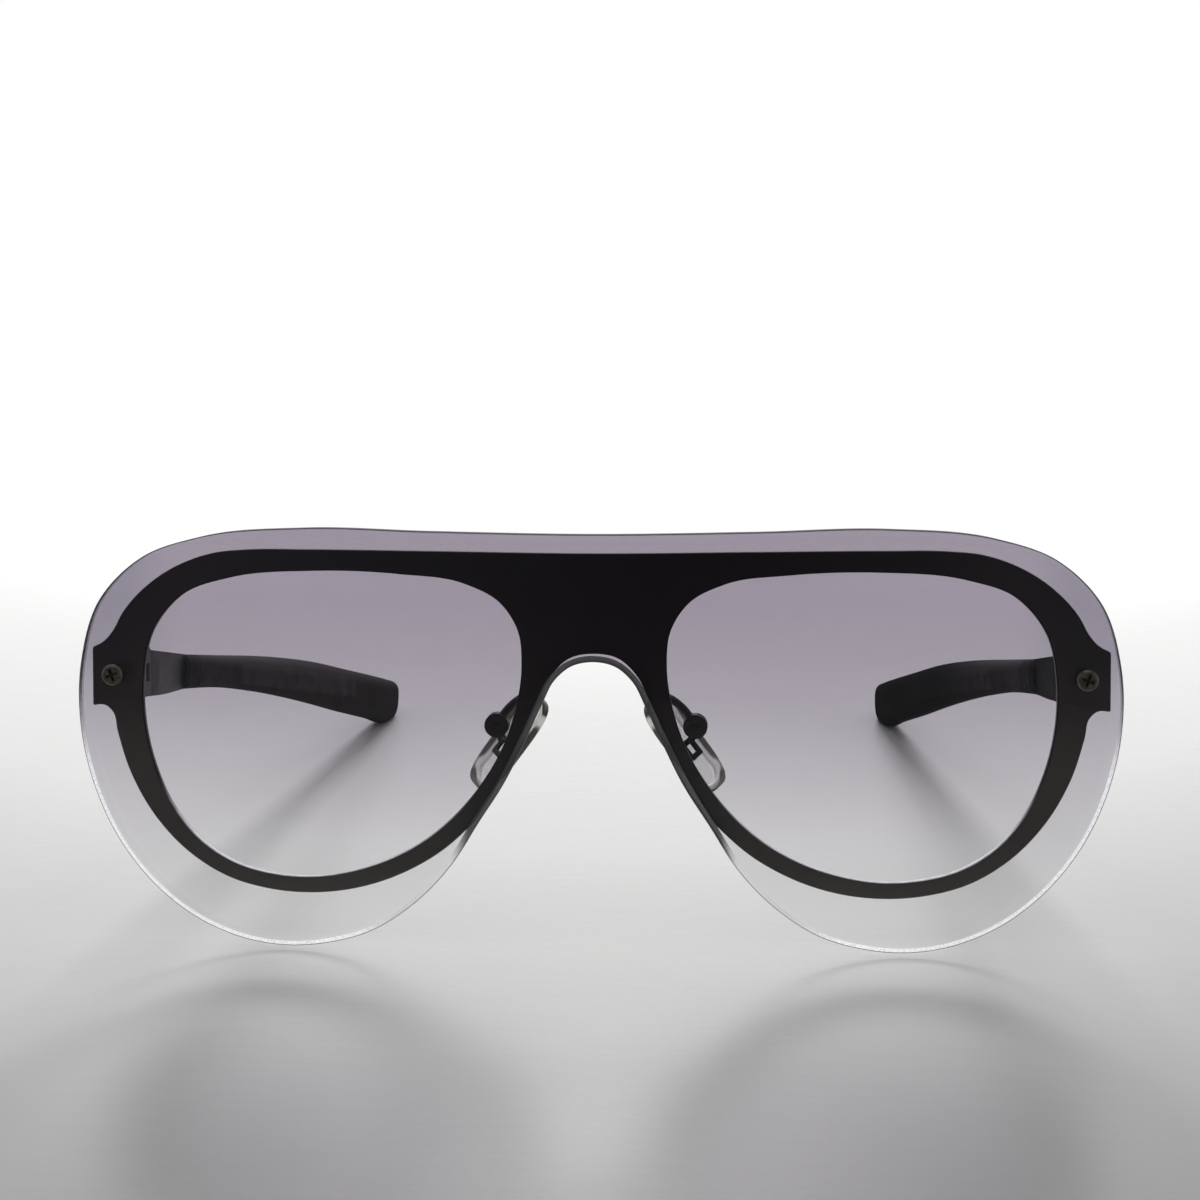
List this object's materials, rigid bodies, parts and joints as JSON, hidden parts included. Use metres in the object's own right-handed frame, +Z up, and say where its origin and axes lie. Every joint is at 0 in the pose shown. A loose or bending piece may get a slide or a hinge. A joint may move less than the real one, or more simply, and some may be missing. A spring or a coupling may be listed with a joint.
{
  "type": "rimless shield sunglasses",
  "caption": "Rimless shield sunglasses with a clear one-piece lens over a black aviator-shaped plate, folding temples and rocking nose pads.",
  "frame": {"origin": "On the table, under the middle of the open sunglasses", "axes": "+X to the right lobe as a viewer in front sees it, +Y back along the temples, +Z up"},
  "size_m": [0.1478, 0.1352, 0.0596],
  "materials": {
    "lens": "clear, tinted grey at the top and fading down",
    "plate": "satin black",
    "metal": "dark gunmetal, satin",
    "screw": "dark steel",
    "nylon": "matt",
    "sleeve": "matt black",
    "pad": "clear silicone, frosted rim"
  },
  "bodies": {
    "front": {"shield_lens": "lens", "front_plate": "plate", "lens_screw_left": "screw", "lens_screw_right": "screw", "lens_bush_left": "nylon", "lens_bush_right": "nylon", "end_piece_left": "metal", "end_piece_right": "metal", "hinge_screw_left": "screw", "hinge_screw_right": "screw", "pad_arm_left": "plate", "pad_arm_right": "plate", "pad_screw_left": "screw", "pad_screw_right": "screw"},
    "temple_left": {"temple_arm_left": "metal", "temple_leaf_left": "metal", "temple_sleeve_left": "sleeve"},
    "pad_left": {"nose_pad_left": "pad", "pad_insert_left": "metal"},
    "temple_right": {"temple_arm_right": "metal", "temple_leaf_right": "metal", "temple_sleeve_right": "sleeve"},
    "pad_right": {"nose_pad_right": "pad", "pad_insert_right": "metal"}
  },
  "joints": [
    {"name": "temple_left_fold", "type": "hinge", "parent": "front", "child": "temple_left", "pos_m": [-0.06671, -0.05374, 0.03708], "axis": [0, -0.1122, -0.9937], "range_deg": [0, 77]},
    {"name": "temple_right_fold", "type": "hinge", "parent": "front", "child": "temple_right", "pos_m": [0.06671, -0.05374, 0.03708], "axis": [0, 0.1122, 0.9937], "range_deg": [0, 69]},
    {"name": "pad_left_rock", "type": "hinge", "parent": "front", "child": "pad_left", "pos_m": [-0.0142, -0.05794, 0.03056], "axis": [0, 0.9937, -0.1122], "range_deg": [-12, 12]},
    {"name": "pad_right_rock", "type": "hinge", "parent": "front", "child": "pad_right", "pos_m": [0.0142, -0.05794, 0.03056], "axis": [0, 0.9937, -0.1122], "range_deg": [-12, 12]}
  ]
}
